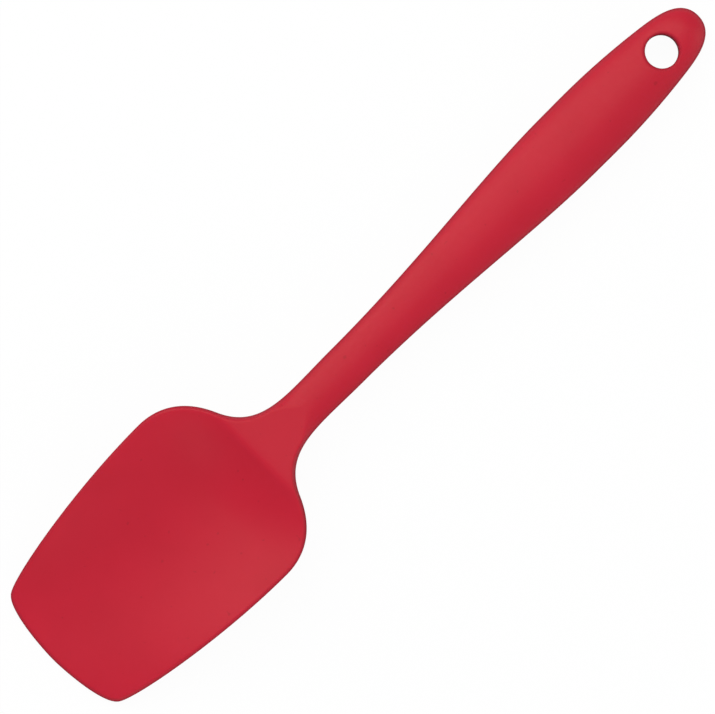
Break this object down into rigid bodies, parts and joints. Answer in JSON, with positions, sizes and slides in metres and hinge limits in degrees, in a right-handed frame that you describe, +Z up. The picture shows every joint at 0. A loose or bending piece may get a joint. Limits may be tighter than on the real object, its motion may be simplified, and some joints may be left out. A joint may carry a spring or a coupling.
{
  "type": "silicone spoon",
  "caption": "Long-handled silicone spoon with a wide open-fronted scoop, soft thin lips, a narrow neck, an oval grip and a hanging hole, moulded over a stiff nylon core.",
  "frame": {"origin": "on the surface that the spoon lies on, under the middle of its length and width", "axes": "+X along the spoon from the bowl's tip to the handle's end, +Y across it, +Z up with the bowl's hollow facing up"},
  "size_m": [0.28, 0.0644, 0.0169],
  "materials": {
    "red_silicone": "matte, smooth to the touch",
    "red_nylon": "glass-filled nylon, coloured to match the silicone"
  },
  "bodies": {
    "root": {"silicone_overmould": "red_silicone", "nylon_core": "red_nylon"}
  },
  "joints": []
}
